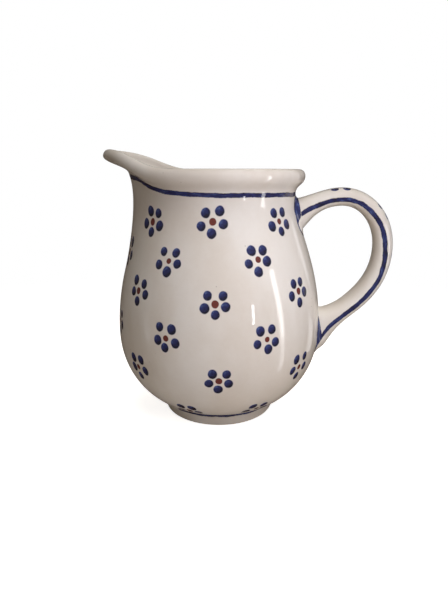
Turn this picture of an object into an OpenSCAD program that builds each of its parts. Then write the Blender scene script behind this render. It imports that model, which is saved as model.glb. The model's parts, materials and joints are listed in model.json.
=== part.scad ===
// Hand-painted stoneware jug: a round body on a turned foot ring, a flared rim
// with a pulled pouring spout, and a strap handle luted to the neck and belly.
//
// Frame: +Z is up, and z = 0 is the surface that the jug stands on. The origin is
// the centre of the foot ring, on the body's axis. The handle points along +X and
// the spout along -X, so the XZ plane is the jug's plane of symmetry.
//
// The wall is one surface of revolution, which the spout then pushes out and up
// by a smooth bump. Every piece takes its faces from that one surface, so pieces
// that meet share the same points.

/* [Body] */
// Radius of the belly, at its widest
belly_r = 58.4; // [48:0.1:72]
// Height of the widest part of the belly
belly_z = 50; // [42:0.5:62]
// Radius of the neck, at its narrowest
neck_r = 42.4; // [36:0.1:52]
// Height of the neck, where the rim begins
neck_z = 126.5; // [104:0.5:156]
// Thickness of the wall
wall = 5; // [3.5:0.1:6.5]
// Thickness of the floor
floor_t = 6; // [4:0.1:9]

/* [Foot ring] */
// Outer radius of the foot ring, where it meets the body
foot_r = 33.2; // [28:0.1:42]
// Height of the foot ring
foot_h = 7.6; // [4:0.1:10]
// Width of the foot ring
foot_w = 7; // [5:0.1:9]
// How far the foot ring's outside draws in towards the bottom
foot_draft = 0.9; // [0:0.1:1.5]
// Radius of its two rounded bottom edges
foot_edge = 1.2; // [0.3:0.1:1.8]

/* [Rim] */
// How far the rim flares out past the neck
rim_flare = 4.9; // [2:0.1:8]
// Height from the neck to the rim's widest line
rim_rise = 9; // [6:0.1:14]
// Height of the rounded lip above that line
lip_crown = 3.7; // [2:0.1:5]
// Thickness of the lip
lip_t = 6.5; // [5:0.1:8]

/* [Spout] */
// How far the spout reaches out past the round rim
spout_reach = 17.2; // [10:0.1:24]
// How far the spout rises above the round rim
spout_rise = 10.6; // [6:0.1:16]
// How far the neck bulges out under the spout
spout_throat = 8; // [4:0.1:12]
// How far below the neck the bulge begins
spout_run = 41; // [30:0.5:48]
// Half-angle over which the reach falls away, in degrees
spout_spread = 28.5; // [20:0.5:40]
// Half-angle over which the rise falls away, in degrees
spout_shoulder = 40; // [30:0.5:50]

/* [Handle] */
// How far the handle stands out past the belly
handle_reach = 37.7; // [30:0.1:48]
// Thickness of the strap
strap_t = 9.8; // [7:0.1:13]
// Width of the strap
strap_w = 20.5; // [16:0.1:26]
// Gap between the neck line and the top of the upper seam
upper_gap = 0.5; // [0.2:0.1:4]
// Height of the handle's top above the neck
handle_crown = 3.2; // [0:0.1:8]
// Depth of the lower joint's centre below the belly's widest line
lower_drop = 0.5; // [0:0.1:6]
// Height of the upper joint
upper_joint_h = 19.5; // [14:0.5:26]
// Height of the lower joint
lower_joint_h = 27; // [20:0.5:36]
// How much wider the strap is at its joints
joint_flare = 2.4; // [0:0.1:5]
// Width of the slip seam around each joint
seam_w = 1.8; // [1:0.1:2.2]
// Height of the slip seam up the strap
seam_h = 1.6; // [0.8:0.1:2.4]

/* [Fineness] */
// Steps around the body
body_steps = 72; // [48:12:96]
// Steps around the strap
strap_steps = 24; // [16:4:32]

/* [Hidden] */

GLAZE = "#ded7ca";
GLAZE_RIM = "#e6e0d4";
GLAZE_FOOT = "#cfc6b6";
COBALT = "#27407f";

rim_r = neck_r + rim_flare;
rim_z = neck_z + rim_rise;
floor_z = foot_h + floor_t;
handle_out = belly_r + handle_reach;

// ---- curves ----

function mix(a, b, t) = a + (b - a) * t;
function ease(t) = let (u = min(max(t, 0), 1)) u * u * (3 - 2 * u);

// n steps along a cubic Bezier curve, from step first to step n
function bezier(a, b, c, d, n, first = 0) = [
    for (i = [first:n])
        let (t = i / n, s = 1 - t)
            s*s*s * a + 3*s*s*t * b + 3*s*t*t * c + t*t*t * d
];

// ---- the wall's outline, as [radius, height], before the spout is pulled ----

// Shares of a curve's width or height at which its control points sit.
foot_flare = 0.15;
belly_pull = 0.70;
shoulder_pull = 0.5;
neck_pull = 0.235;

// Outside, from the foot ring up to the neck.
outside = concat(
    bezier([foot_r, foot_h],
           [mix(foot_r, belly_r, foot_flare), foot_h],
           [belly_r, mix(belly_z, foot_h, belly_pull)],
           [belly_r, belly_z], 10),
    bezier([belly_r, belly_z],
           [belly_r, mix(belly_z, neck_z, shoulder_pull)],
           [neck_r, mix(neck_z, belly_z, neck_pull)],
           [neck_r, neck_z], 14, first = 1));

// Inside, from the neck down to the floor, one wall in from the outside.
floor_r = 0.3 * belly_r;
inside = concat(
    bezier([neck_r - wall, neck_z],
           [neck_r - wall, mix(neck_z, belly_z, neck_pull)],
           [belly_r - wall, mix(belly_z, neck_z, shoulder_pull)],
           [belly_r - wall, belly_z], 12),
    bezier([belly_r - wall, belly_z],
           [belly_r - wall, mix(belly_z, floor_z, belly_pull)],
           [mix(floor_r, belly_r, 0.5), floor_z],
           [floor_r, floor_z], 9, first = 1));

// The rim: outside flare, rounded lip, and back down inside to the neck.
lip_mid = rim_r - lip_t / 2;
rim_line = concat(
    bezier([neck_r, neck_z], [neck_r, neck_z + rim_rise / 2],
           [rim_r, rim_z - rim_rise / 2], [rim_r, rim_z], 6),
    [for (i = [1:9]) [lip_mid + lip_t / 2 * cos(i * 20), rim_z + lip_crown * sin(i * 20)]],
    bezier([rim_r - lip_t, rim_z], [rim_r - lip_t, rim_z - rim_rise / 2],
           [neck_r - wall, neck_z + rim_rise / 2], [neck_r - wall, neck_z], 6, first = 1));

// Radius of the round wall's outside at a height.
function wall_r(z) = lookup(z, [for (p = outside) [p[1], p[0]]]);

// ---- the spout ----

// The bump is blunt at its middle, over this many degrees, and gone at fade_end.
blunt = 6;
fade_start = 70;
fade_end = 120;

// Degrees between a direction and the spout, which points along -X.
function off_spout(a) = abs(abs(a) - 180);
function fade(a) = 1 - ease((off_spout(a) - fade_start) / (fade_end - fade_start));
function reach_share(a) =
    exp(-pow((sqrt(pow(off_spout(a), 2) + blunt * blunt) - blunt) / spout_spread, 1.3)) * fade(a);
function rise_share(a) = exp(-pow(off_spout(a) / spout_shoulder, 3)) * fade(a);

// How far the bump pushes the wall out, and how far up, at a height.
function throat_share(z) = pow(min(max(1 - (neck_z - z) / spout_run, 0), 1), 2);
function push_out(z) = spout_throat * throat_share(z)
    + (spout_reach - spout_throat) * ease((z - neck_z) / rim_rise);
function push_up(z) = spout_rise * ease(1 - (neck_z - z) / spout_run);

// One ring of the wall: the outline's point p, carried round the axis.
function wall_ring(p) = [
    for (i = [0:body_steps - 1])
        let (a = i * 360 / body_steps - 180,
             r = p[0] + push_out(p[1]) * reach_share(a),
             z = p[1] + push_up(p[1]) * rise_share(a))
            [r * cos(a), r * sin(a), z]
];

// ---- the handle ----

// Ends and turning points of the strap's middle line, as [x, z].
joint_w = strap_w + joint_flare;
upper_z = neck_z - upper_gap - seam_w - upper_joint_h / 2;
lower_z = belly_z - lower_drop;
upper_end = [wall_r(upper_z), upper_z];
lower_end = [wall_r(lower_z), lower_z];
outer_x = handle_out - strap_t / 2;
crown_z = neck_z + handle_crown - strap_t / 2;
crown = [mix(upper_end[0], outer_x, 0.5), crown_z];
outermost = [outer_x, mix(lower_z, crown_z, 0.63)];

// Directions in which the strap leaves its two joints, in degrees above +X.
upper_lean = 56;
lower_lean = 68;
// Shares of the strap's two ends over which it thickens towards its joints.
upper_flare = 0.74;
lower_flare = 0.46;

arch_w = crown[0] - upper_end[0];
turn_w = outermost[0] - crown[0];
turn_h = crown[1] - outermost[1];
fall_h = outermost[1] - lower_end[1];

// The middle line in three curves. s runs from 0 at the upper joint to 3.
function strap_middle(s) =
    let (leg = min(floor(s), 2), t = s - leg, u = 1 - t,
         c = leg == 0 ? [upper_end,
                         upper_end + 0.19 * arch_w * [cos(upper_lean), sin(upper_lean)],
                         crown - [0.44 * arch_w, 0],
                         crown]
           : leg == 1 ? [crown,
                         crown + [0.55 * turn_w, 0],
                         outermost + [0, 0.57 * turn_h],
                         outermost]
           :            [outermost,
                         outermost - [0, 0.63 * fall_h],
                         lower_end + 0.19 * fall_h * [cos(lower_lean), sin(lower_lean)],
                         lower_end])
        u*u*u * c[0] + 3*u*u*t * c[1] + 3*u*t*t * c[2] + t*t*t * c[3];

function near_upper(s) = pow(max(1 - s / upper_flare, 0), 2);
function near_lower(s) = pow(max(1 - (3 - s) / lower_flare, 0), 2);

// Direction across the strap's thickness, towards its outer face. It swings
// round to lie along the wall where the strap meets its joints.
function strap_across(s) =
    let (d = strap_middle(min(s + 0.01, 3)) - strap_middle(max(s - 0.01, 0)),
         n = [-d[1], d[0]] / norm(d), a = near_upper(s), b = near_lower(s),
         v = (1 - a - b) * n + [0, a - b])
        v / norm(v);
function strap_half_t(s) = strap_t / 2 + (upper_joint_h - strap_t) / 2 * near_upper(s)
    + (lower_joint_h - strap_t) / 2 * near_lower(s);
function strap_half_w(s) = (strap_w + joint_flare * (near_upper(s) + near_lower(s))) / 2;

// The strap's section is a superellipse, between an ellipse and a rectangle.
section_power = 0.84;
function soft(v) = sign(v) * pow(abs(v), section_power);

function strap_ring(s) =
    let (m = strap_middle(s), n = strap_across(s), t = strap_half_t(s), w = strap_half_w(s))
        [for (i = [0:strap_steps - 1])
            let (a = i * 360 / strap_steps, p = m + n * t * soft(sin(a)))
                [p[0], w * soft(cos(a)), p[1]]];

// A ring at a joint of height h, laid on the wall, grown by grow and scaled by k
// about the joint's centre at zc. turn is 1 where the strap's outer face looks
// up, at the upper joint, and -1 at the lower joint.
function joint_ring(zc, h, turn, k = 1, grow = 0) = [
    for (i = [0:strap_steps - 1])
        let (a = i * 360 / strap_steps,
             y = k * (joint_w / 2 + grow) * soft(cos(a)),
             z = zc + k * turn * (h / 2 + grow) * soft(sin(a)))
            [sqrt(pow(wall_r(z), 2) - y * y), y, z]];

// The strap's first section clear of each joint's seam.
upper_clear = seam_h / norm(strap_middle(0.1) - strap_middle(0)) * 0.1;
lower_clear = 3 - seam_h / norm(strap_middle(2.95) - strap_middle(3)) * 0.05;

// ---- solids made from rings ----

// Faces between rings i and j of n points each, seen from outside. Each four-sided
// patch is split along one diagonal, and along the other one if flip is true.
function band(i, j, n, flip = false) = [
    for (k = [0:n - 1])
        let (m = (k + 1) % n, a = i * n + k, b = i * n + m, c = j * n + m, d = j * n + k)
            each (flip ? [[a, d, b], [b, d, c]] : [[a, c, b], [a, d, c]])];

// A closed tube: the last ring joins back on to the first. Its diagonals are
// flipped, so that they lie on those of the ring_solid that it is pressed against.
module ring_loop(rings) {
    n = len(rings[0]);
    count = len(rings);
    polyhedron(points = [for (r = rings) each r],
               faces = [for (i = [0:count - 1]) each band(i, (i + 1) % count, n, flip = true)]);
}

// A solid that closes to a point before its first ring and after its last.
module ring_solid(first, rings, last) {
    n = len(rings[0]);
    count = len(rings);
    tip = count * n;
    polyhedron(points = concat([for (r = rings) each r], [first, last]),
               faces = concat(
                   [for (k = [0:n - 1]) [tip, k, (k + 1) % n]],
                   [for (i = [0:count - 2]) each band(i, i + 1, n)],
                   [for (k = [0:n - 1]) [tip + 1, tip - n + (k + 1) % n, tip - n + k]]));
}

// ---- the pieces ----

module body() {
    color(GLAZE)
        ring_solid([0, 0, foot_h],
                   [for (p = concat(outside, inside)) wall_ring(p)],
                   [0, 0, floor_z]);
}

module rim_and_spout() {
    color(GLAZE_RIM)
        ring_loop([for (p = rim_line) wall_ring(p)]);
}

// The ring is open in the middle, so that the body's underside shows as a recess.
module foot_ring() {
    bottom_out = foot_r - foot_draft;
    bottom_in = foot_r - foot_w + foot_draft;
    color(GLAZE_FOOT)
        rotate_extrude($fn = body_steps)
            polygon(concat(
                [[foot_r - foot_w, foot_h]],
                [for (a = [180:15:270])
                    [bottom_in + foot_edge * (1 + cos(a)), foot_edge * (1 + sin(a))]],
                [for (a = [270:15:360])
                    [bottom_out + foot_edge * (cos(a) - 1), foot_edge * (1 + sin(a))]],
                [[foot_r, foot_h]]));
}

cap_steps = 4;
strap_count = 34;
module handle() {
    color(GLAZE)
        ring_solid(
            [upper_end[0], 0, upper_end[1]],
            concat(
                [for (k = [1:cap_steps]) joint_ring(upper_z, upper_joint_h, 1, k = k / cap_steps)],
                [for (i = [0:strap_count]) strap_ring(mix(upper_clear, lower_clear, i / strap_count))],
                [for (k = [cap_steps:-1:1]) joint_ring(lower_z, lower_joint_h, -1, k = k / cap_steps)]),
            [lower_end[0], 0, lower_end[1]]);
}

module upper_handle_seam() {
    color(COBALT)
        ring_loop([strap_ring(upper_clear),
                   joint_ring(upper_z, upper_joint_h, 1),
                   joint_ring(upper_z, upper_joint_h, 1, grow = seam_w)]);
}

module lower_handle_seam() {
    color(COBALT)
        ring_loop([joint_ring(lower_z, lower_joint_h, -1, grow = seam_w),
                   joint_ring(lower_z, lower_joint_h, -1),
                   strap_ring(lower_clear)]);
}

body();
rim_and_spout();
foot_ring();
handle();
upper_handle_seam();
lower_handle_seam();
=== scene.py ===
# %% [markdown]
# # A hand-painted stoneware jug
# A potter threw this jug on a wheel, turned its foot, pulled its spout and its
# handle by hand, painted it with cobalt and iron, and dipped it in a clear glaze.
# This lesson builds what you see of it in Blender. The CAD model has already fixed
# every size, so it is loaded first as a frame that nothing here may move. Each
# piece below is then a smooth surface that stands for one CAD piece.

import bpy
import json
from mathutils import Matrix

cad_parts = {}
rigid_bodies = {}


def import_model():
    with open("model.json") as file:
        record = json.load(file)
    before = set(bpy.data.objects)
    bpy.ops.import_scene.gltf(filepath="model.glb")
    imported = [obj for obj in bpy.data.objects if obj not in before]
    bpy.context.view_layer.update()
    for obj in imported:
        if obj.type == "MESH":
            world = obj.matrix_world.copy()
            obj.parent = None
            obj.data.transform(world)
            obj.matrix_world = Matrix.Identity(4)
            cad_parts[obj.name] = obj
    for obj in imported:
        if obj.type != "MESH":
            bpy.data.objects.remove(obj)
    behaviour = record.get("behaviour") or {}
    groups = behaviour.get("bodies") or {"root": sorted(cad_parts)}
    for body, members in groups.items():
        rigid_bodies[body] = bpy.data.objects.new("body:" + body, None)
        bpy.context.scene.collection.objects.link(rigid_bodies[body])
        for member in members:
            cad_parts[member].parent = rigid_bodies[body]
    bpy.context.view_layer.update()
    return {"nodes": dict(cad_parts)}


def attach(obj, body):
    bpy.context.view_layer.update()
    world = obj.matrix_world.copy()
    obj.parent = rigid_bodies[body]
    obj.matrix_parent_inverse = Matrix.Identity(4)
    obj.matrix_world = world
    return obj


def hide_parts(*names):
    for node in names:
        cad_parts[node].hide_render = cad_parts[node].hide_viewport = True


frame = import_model()
print("CAD nodes:", ", ".join(sorted(frame["nodes"])))

# %% Tools
import json
import math

import bpy
import numpy as np
from mathutils import Vector

MM = 0.001  # shapes are worked out in millimetres and put into meshes in metres


def put(name, data):
    """A new object in the scene that holds a mesh, a lamp or a camera."""
    made = bpy.data.objects.new(name, data)
    bpy.context.scene.collection.objects.link(made)
    return made


print("lengths are in mm, angles in degrees, until a mesh is made")

# %% [markdown]
# ## Sizes
# These are the same sizes that the CAD model has. The jug's axis is Z, its handle
# points along +X and its spout along -X. Keeping one name for each size means that
# a shape reads like a sentence: the belly's radius, the neck's height.

# %% Sizes of the thrown parts
belly_r, belly_z = 58.4, 50.0
neck_r, neck_z = 42.4, 126.5
wall, floor_t = 5.0, 6.0
foot_r, foot_h, foot_w, foot_draft, foot_edge = 33.2, 7.6, 7.0, 0.9, 1.2
rim_flare, rim_rise, lip_crown, lip_t = 4.9, 9.0, 3.7, 6.5
rim_r, rim_z = neck_r + rim_flare, neck_z + rim_rise
floor_z = foot_h + floor_t
print("belly", 2 * belly_r, "mm across, rim", rim_z + lip_crown, "mm high")

# %% Sizes of the spout and the handle
spout_reach, spout_rise, spout_throat, spout_run = 17.2, 10.6, 8.0, 41.0
spout_spread, spout_shoulder = 28.5, 40.0
handle_reach, handle_crown = 37.7, 3.2
strap_t, strap_w, joint_w = 9.8, 20.5, 22.9
upper_joint_h, lower_joint_h = 19.5, 27.0
seam_w, seam_h = 1.8, 1.6
upper_z = neck_z - 0.5 - seam_w - upper_joint_h / 2
lower_z = belly_z - 0.5
print("handle reaches", belly_r + handle_reach, "mm from the axis")

# %% [markdown]
# ## Curves
# A thrown wall is drawn by one outline that turns round the axis. A Bezier curve
# is a good outline, because four points give its ends and the directions in which
# it leaves them. Points are then spread evenly along it, so that the surface has
# no crowded or stretched faces, which would show in a glossy reflection.


# %% Curve helpers
def mix(a, b, t):
    """The value a share t of the way from a to b."""
    return a + (b - a) * t


def ease(t):
    """A smooth step: 3 t squared minus 2 t cubed, with t held between 0 and 1."""
    t = np.clip(t, 0, 1)
    return t * t * (3 - 2 * t)


def bezier(a, b, c, d, n=400):
    """Cubic curve: a, b, c, d weighted by s^3, 3 s^2 t, 3 s t^2 and t^3, where s is 1 - t."""
    a, b, c, d = (np.array(p, float) for p in (a, b, c, d))
    t = np.linspace(0, 1, n + 1)[:, None]
    s = 1 - t
    return s**3 * a + 3 * s * s * t * b + 3 * s * t * t * c + t**3 * d


def run_along(line):
    """Distance from a line's first point to each of its points: the lengths of its steps, added up."""
    return np.concatenate([[0], np.cumsum(np.linalg.norm(np.diff(line, axis=0), axis=1))])


def even_steps(line, step):
    """The same line with its points about one step apart, read off at even distances along it."""
    run = run_along(line)
    at = np.linspace(0, run[-1], max(2, round(run[-1] / step)) + 1)
    return np.stack([np.interp(at, run, line[:, k]) for k in range(line.shape[1])], 1)


print("a smooth step at 0.25 is", float(ease(0.25)))

# %% [markdown]
# ## The wall's outline
# The outside runs from the foot, round the belly and up to the neck. The inside
# is the same curve one wall's thickness in, and ends on the floor. Both are lists
# of [radius, height].

# %% Outline of the body
foot_flare, belly_pull, shoulder_pull, neck_pull = 0.15, 0.70, 0.5, 0.235  # shares of each curve's span
outside_line = np.vstack([
    bezier([foot_r, foot_h], [mix(foot_r, belly_r, foot_flare), foot_h],
           [belly_r, mix(belly_z, foot_h, belly_pull)], [belly_r, belly_z]),
    bezier([belly_r, belly_z], [belly_r, mix(belly_z, neck_z, shoulder_pull)],
           [neck_r, mix(neck_z, belly_z, neck_pull)], [neck_r, neck_z])[1:],
])
inner_r, floor_r = belly_r - wall, 0.3 * belly_r
inside_line = np.vstack([
    bezier([neck_r - wall, neck_z], [neck_r - wall, mix(neck_z, belly_z, neck_pull)],
           [inner_r, mix(belly_z, neck_z, shoulder_pull)], [inner_r, belly_z]),
    bezier([inner_r, belly_z], [inner_r, mix(belly_z, floor_z, belly_pull)],
           [mix(floor_r, belly_r, 0.5), floor_z], [floor_r, floor_z])[1:],
])


def wall_r(z):
    """Radius of the wall's outside at a height, read off the outline."""
    return np.interp(z, outside_line[:, 1], outside_line[:, 0])


print("outline:", len(outside_line), "points outside,", len(inside_line), "inside")

# %% [markdown]
# ## Pulling the spout
# A potter pulls a spout by stroking the soft rim outwards with one finger while two
# others hold it back on each side. Here it is a smooth bump on the round wall: at
# each height it pushes out and up by some amount, and that amount fades away with
# the angle from the spout. The same rule moves the body and the rim, so they meet.


# %% The spout's bump
BLUNT = 6  # degrees over which the spout's tip is blunted
FADE_START, FADE_END = 70, 120  # degrees from the spout


def off_spout(a):
    """Degrees between a direction and the spout, which points along -X."""
    return np.abs((a + 360) % 360 - 180)


def fade(a):
    """1 near the spout, easing down to 0 between the fade's two angles."""
    return 1 - ease((off_spout(a) - FADE_START) / (FADE_END - FADE_START))


def reach_share(a):
    """e to the minus (angle / spread)^1.3, with the angle blunted at the tip, times the fade."""
    blunted = np.sqrt(off_spout(a) ** 2 + BLUNT**2) - BLUNT
    return np.exp(-((blunted / spout_spread) ** 1.3)) * fade(a)


def rise_share(a):
    """e to the minus (angle / shoulder) cubed, times the fade."""
    return np.exp(-((off_spout(a) / spout_shoulder) ** 3)) * fade(a)


def push_out(z):
    """The throat's bulge grows as a square from the run's start to the neck; the rim adds the rest."""
    throat = np.clip(1 - (neck_z - z) / spout_run, 0, 1) ** 2
    return spout_throat * throat + (spout_reach - spout_throat) * ease((z - neck_z) / rim_rise)


def push_up(z):
    """The rise eases in from the run's start to the neck."""
    return spout_rise * ease(1 - (neck_z - z) / spout_run)


print("the spout's tip stands", float(push_out(rim_z) + rim_r), "mm from the axis")


# %% A point of the wall
def hand_wobble(a, z):
    """Up to 0.12 mm inwards: three slow waves round and up the jug, as a turning hand leaves."""
    turn = np.radians(a)
    waves = np.sin(2 * turn + 1.3) + np.sin(3 * turn - z / 26 + 0.4) + np.sin(turn + z / 15)
    return 0.02 * (3 + waves)


def wall_points(line, angles):
    """Each [radius, height] of a line, carried to each angle, less the wobble, plus the spout's bump."""
    r, z = line[:, 0, None], line[:, 1, None]
    a = angles[None, :]
    r = r - hand_wobble(a, z) * np.clip(r / 20, 0, 1) + push_out(z) * reach_share(a)
    turn = np.radians(a)
    up = z + push_up(z) * rise_share(a)
    return np.stack([r * np.cos(turn), r * np.sin(turn), up], -1)


COLUMNS = 288
angles = np.linspace(-180, 180, COLUMNS, endpoint=False)
print(COLUMNS, "columns of", round(math.tau * belly_r / COLUMNS, 2), "mm round the belly")

# %% [markdown]
# ## From a grid of points to a mesh
# Every piece is a grid: rows of points that each run once round the piece. A face
# joins four neighbours. A bowl closes to a point at each end, and a ring joins its
# last row back to its first. The volume, added up over the faces, tells which way
# the faces point: if it is negative, all of them are turned over.


# %% Grid to faces
def grid_faces(rows, columns, joined):
    """Four corners for each patch of the grid; columns wrap round, and rows too where joined is true."""
    i = np.arange(rows if joined else rows - 1)[:, None]
    k = np.arange(columns)[None, :]
    j, m = (i + 1) % rows, (k + 1) % columns
    corners = [i * columns + k, i * columns + m, j * columns + m, j * columns + k]
    return np.stack(np.broadcast_arrays(*corners), -1).reshape(-1, 4)


def fan_faces(rows, columns, tips):
    """Three corners for each face that closes the first row, and the last, to its tip."""
    k = np.arange(columns)
    m, first, last = (k + 1) % columns, rows * columns, (rows - 1) * columns
    if not tips:
        return np.zeros((0, 3), int)
    start = np.stack([np.full(columns, first), m, k], -1)
    end = np.stack([np.full(columns, first + 1), last + k, last + m], -1)
    return np.vstack([start, end])


print("a ring of 3 rows and 4 columns has", len(grid_faces(3, 4, True)), "faces")


# %% Faces to a piece
def volume_of(points, faces):
    """A sixth of the sum of each triangle's corners multiplied out: positive if faces point outwards."""
    a, b, c = (points[faces[:, k]] for k in range(3))
    total = np.einsum("ij,ij->", a, np.cross(b, c))
    if faces.shape[1] == 4:
        d = points[faces[:, 3]]
        total += np.einsum("ij,ij->", a, np.cross(c, d))
    return total / 6


def make_piece(name, grid, tips=None, sharp=50):
    """A smooth closed piece from a grid of points in mm. Without tips its rows join up as a ring."""
    rows, columns = grid.shape[:2]
    points = grid.reshape(-1, 3)
    if tips is not None:
        points = np.vstack([points, tips])
    quads = grid_faces(rows, columns, tips is None)
    fans = fan_faces(rows, columns, tips is not None)
    volume = volume_of(points, quads) + (volume_of(points, fans) if len(fans) else 0)
    turned = volume < 0
    if turned:
        quads, fans = quads[:, ::-1], fans[:, ::-1]
    mesh = bpy.data.meshes.new(name)
    mesh.from_pydata((points * MM).tolist(), [], quads.tolist() + fans.tolist())
    mesh.shade_smooth()
    mesh.set_sharp_from_angle(angle=math.radians(sharp))
    piece = put(name, mesh)
    piece["turned"] = bool(turned)
    print(f"{name}: {len(points)} points, {abs(volume) / 1000:.1f} ml of clay")
    return piece


print("pieces are made with make_piece(name, grid)")

# %% [markdown]
# ## Paint that follows the surface
# The painter placed each flower by eye on the curved wall. A pattern can follow a
# surface through a UV map: two numbers kept at each corner of each face. Three maps
# are used. "Flower" holds how far, in mm, a corner is right of and above the nearest
# flower's centre. "Seed" holds which flower that is, so that no two look alike.
# "Line" holds how far a corner is along the nearest brush line, in mm, and how many
# half-widths across it. The paint itself is worked out later, by shader nodes.

FAR = 60.0  # a place so far off that no paint reaches it


# %% UV map helpers
def corners_of(values, joined):
    """A grid of values as four corner values per face, in the order that grid_faces uses.

    values has one column more than the grid has, so that a distance round the piece
    doesn't jump where the last column meets the first.
    """
    low = values if joined else values[:-1]
    high = np.roll(values, -1, axis=0) if joined else values[1:]
    return np.stack([low[:, :-1], low[:, 1:], high[:, 1:], high[:, :-1]], -1)


def set_map(piece, name, across, up):
    """Fills one UV map with corner values. Faces at the tips get a place far from any paint."""
    mesh = piece.data
    pairs = np.full((len(mesh.loops), 2), FAR, np.float32)
    if piece["turned"]:
        across, up = across[..., ::-1], up[..., ::-1]
    flat = np.stack([across, up], -1).reshape(-1, 2)
    pairs[: len(flat)] = flat
    layer = mesh.uv_layers.new(name=name)
    layer.uv.foreach_set("vector", pairs.ravel())


def fill_maps(piece, rows, joined, first, lines, flower=None):
    """Puts the paint maps on a piece's faces, from its row first on. All other faces get no paint."""
    across, above, seed = flower or [np.full(lines[0].shape, FAR)] * 3
    count = rows if joined else rows - 1
    for name, pair in (("Flower", (across, above)), ("Seed", (seed, seed)), ("Line", lines)):
        filled = np.full((2, count, *lines[0].shape[1:]), FAR)
        filled[:, first:first + len(lines[0])] = pair
        set_map(piece, name, *filled)


print("three UV maps: Flower, Seed and Line")


# %% Helpers that choose the nearest paint
def middle(corner_values):
    """The mean of a face's four corner values."""
    return corner_values.mean(-1)


def pick(options, choice):
    """Each face's corner values, taken from the option that was chosen for that face."""
    return [np.take_along_axis(np.stack(grids), choice[None, ..., None], 0)[0] for grids in zip(*options)]


def nearest_line(options):
    """Corner values of the nearest of some brush lines, each given as (along, across, half its width)."""
    reach = [(np.abs(middle(across)) - 1) * half for _, across, half in options]
    return pick([option[:2] for option in options], np.argmin(np.stack(reach), 0))


def wall_corners(angles, *columns):
    """Corner values of the angle round the jug, and of columns that hold one value for each row."""
    open_angles = np.append(angles, angles[0] + 360)
    full = (len(columns[0]), len(open_angles))
    spread = [open_angles] + [column[:, None] for column in columns]
    return [corners_of(np.broadcast_to(values, full), False) for values in spread]


def round_wall(r, a):
    """Distance round the jug: the radius times the angle. Strokes begin and end behind the handle."""
    side = (middle(a) + 720) % 360
    return r * np.radians(a - middle(a)[..., None] + side[..., None])


print("each face takes the flower and the line that its middle is nearest to")

# %% [markdown]
# ## Where the flowers are
# The flowers stand in staggered rows: each row's flowers face the gaps of the rows
# above and below. The painter turned the jug by eye, so the gaps aren't all equal.
# One side is given, and the other side mirrors it with small changes of place.

# %% Flower places on the body
flower_rows = [  # (degrees from the handle, height) down one side, and the height over the spout
    ([(41, 113.8), (88, 114.7), (131, 113.6)], 111.0),
    ([(62, 96.8), (113, 95.7), (157, 96.0)], None),
    ([(37, 79.0), (86, 77.1), (132, 79.2)], 78.0),
    ([(60, 58.6), (111, 58.9), (155, 58.4)], None),
    ([(36, 38.4), (84, 38.0), (132, 38.2)], 37.6),
    ([(57, 14.1), (105.5, 13.7), (154, 14.4)], None),
]
draw = np.random.default_rng(7)
flowers = []
for places, over_spout in flower_rows:
    for place, height in places:
        flowers.append((-place, height))
        flowers.append((place + draw.uniform(-2, 2), height + draw.uniform(-0.8, 0.8)))
    if over_spout:
        flowers.append((180.0, over_spout))
print(len(flowers), "flowers on the body")


# %% Flower map of the body
def flower_maps(line, angles, flowers):
    """Corner values of the Flower and Seed maps on an outline carried round the axis.

    Across is the radius times the angle from the flower; up is the distance along the outline.
    """
    run = run_along(line)
    a, r, up = wall_corners(angles, line[:, 0], run)
    options, reach = [], []
    for place, height in flowers:
        base = height
        for _ in range(6):  # the height before the spout lifted it
            base = height - push_up(base) * rise_share(np.array(place))
        turn = (middle(a) - place + 180) % 360 - 180
        across = r * np.radians(a - middle(a)[..., None] + turn[..., None])
        above = up - np.interp(base, line[:, 1], run)
        options.append((across, above))
        reach.append(np.hypot(middle(across), middle(above)))
    choice = np.argmin(np.stack(reach), 0)
    return *pick(options, choice), choice


print("the flower map is ready to be filled")

# %% [markdown]
# ## Where the brush lines are
# A line is a curve on the surface with a width. For each corner the script needs
# its distance from that curve, divided by half the width, so that the paint's edge
# is always at 1. The line round the neck doesn't quite keep to the joint of body and
# rim: it sags under the spout's tip and climbs onto the rim beside it.


# %% Brush line distances on the wall
NECK_LINE = np.array([  # degrees off the spout, and mm above the joint of body and rim
    [0, -1.9], [10, -1.7], [20, -0.9], [30, 0.7], [40, 1.3], [50, 1.4], [60, 1.35], [70, 1.1],
    [80, 0.75], [90, 0.5], [110, 0.3], [130, 0.1], [150, -0.2], [180, -0.3]])


def neck_line_rise(a):
    """How far above the joint the brush ran, read off the knots."""
    return np.interp(off_spout(a), NECK_LINE[:, 0], NECK_LINE[:, 1])


def neck_line_half_width(a):
    """The brush was pressed a little flatter beside the spout: 1.3 mm there, 1.15 mm elsewhere."""
    return mix(1.3, 1.15, ease((off_spout(a) - 50) / 40))


print("the neck line rises", float(neck_line_rise(np.array(125.0))), "mm beside the spout")


# %% Line map of the body
THIN_LINE, THIN_HALF = 0.1, 0.55  # the foot line's upper edge on the body: mm up the wall, half width


def line_maps_of_wall(line, angles):
    """Corner values of the Line map on the body's outside, for its neck line and its foot line."""
    run = run_along(line)
    a, r, up = wall_corners(angles, line[:, 0], run)
    along = round_wall(r, a)
    neck = (up - run[-1] - neck_line_rise(a)) / neck_line_half_width(a)
    return nearest_line([(along, neck, 1.0), (along, (up - THIN_LINE) / THIN_HALF, THIN_HALF)])


print("the line map is ready to be filled")

# %% [markdown]
# ## The body
# The body is one closed skin: its underside, slightly hollow inside the foot ring,
# its outside, the level edge that the rim stands on, its inside with the shallow
# ridges that throwing leaves, and its floor.

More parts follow.
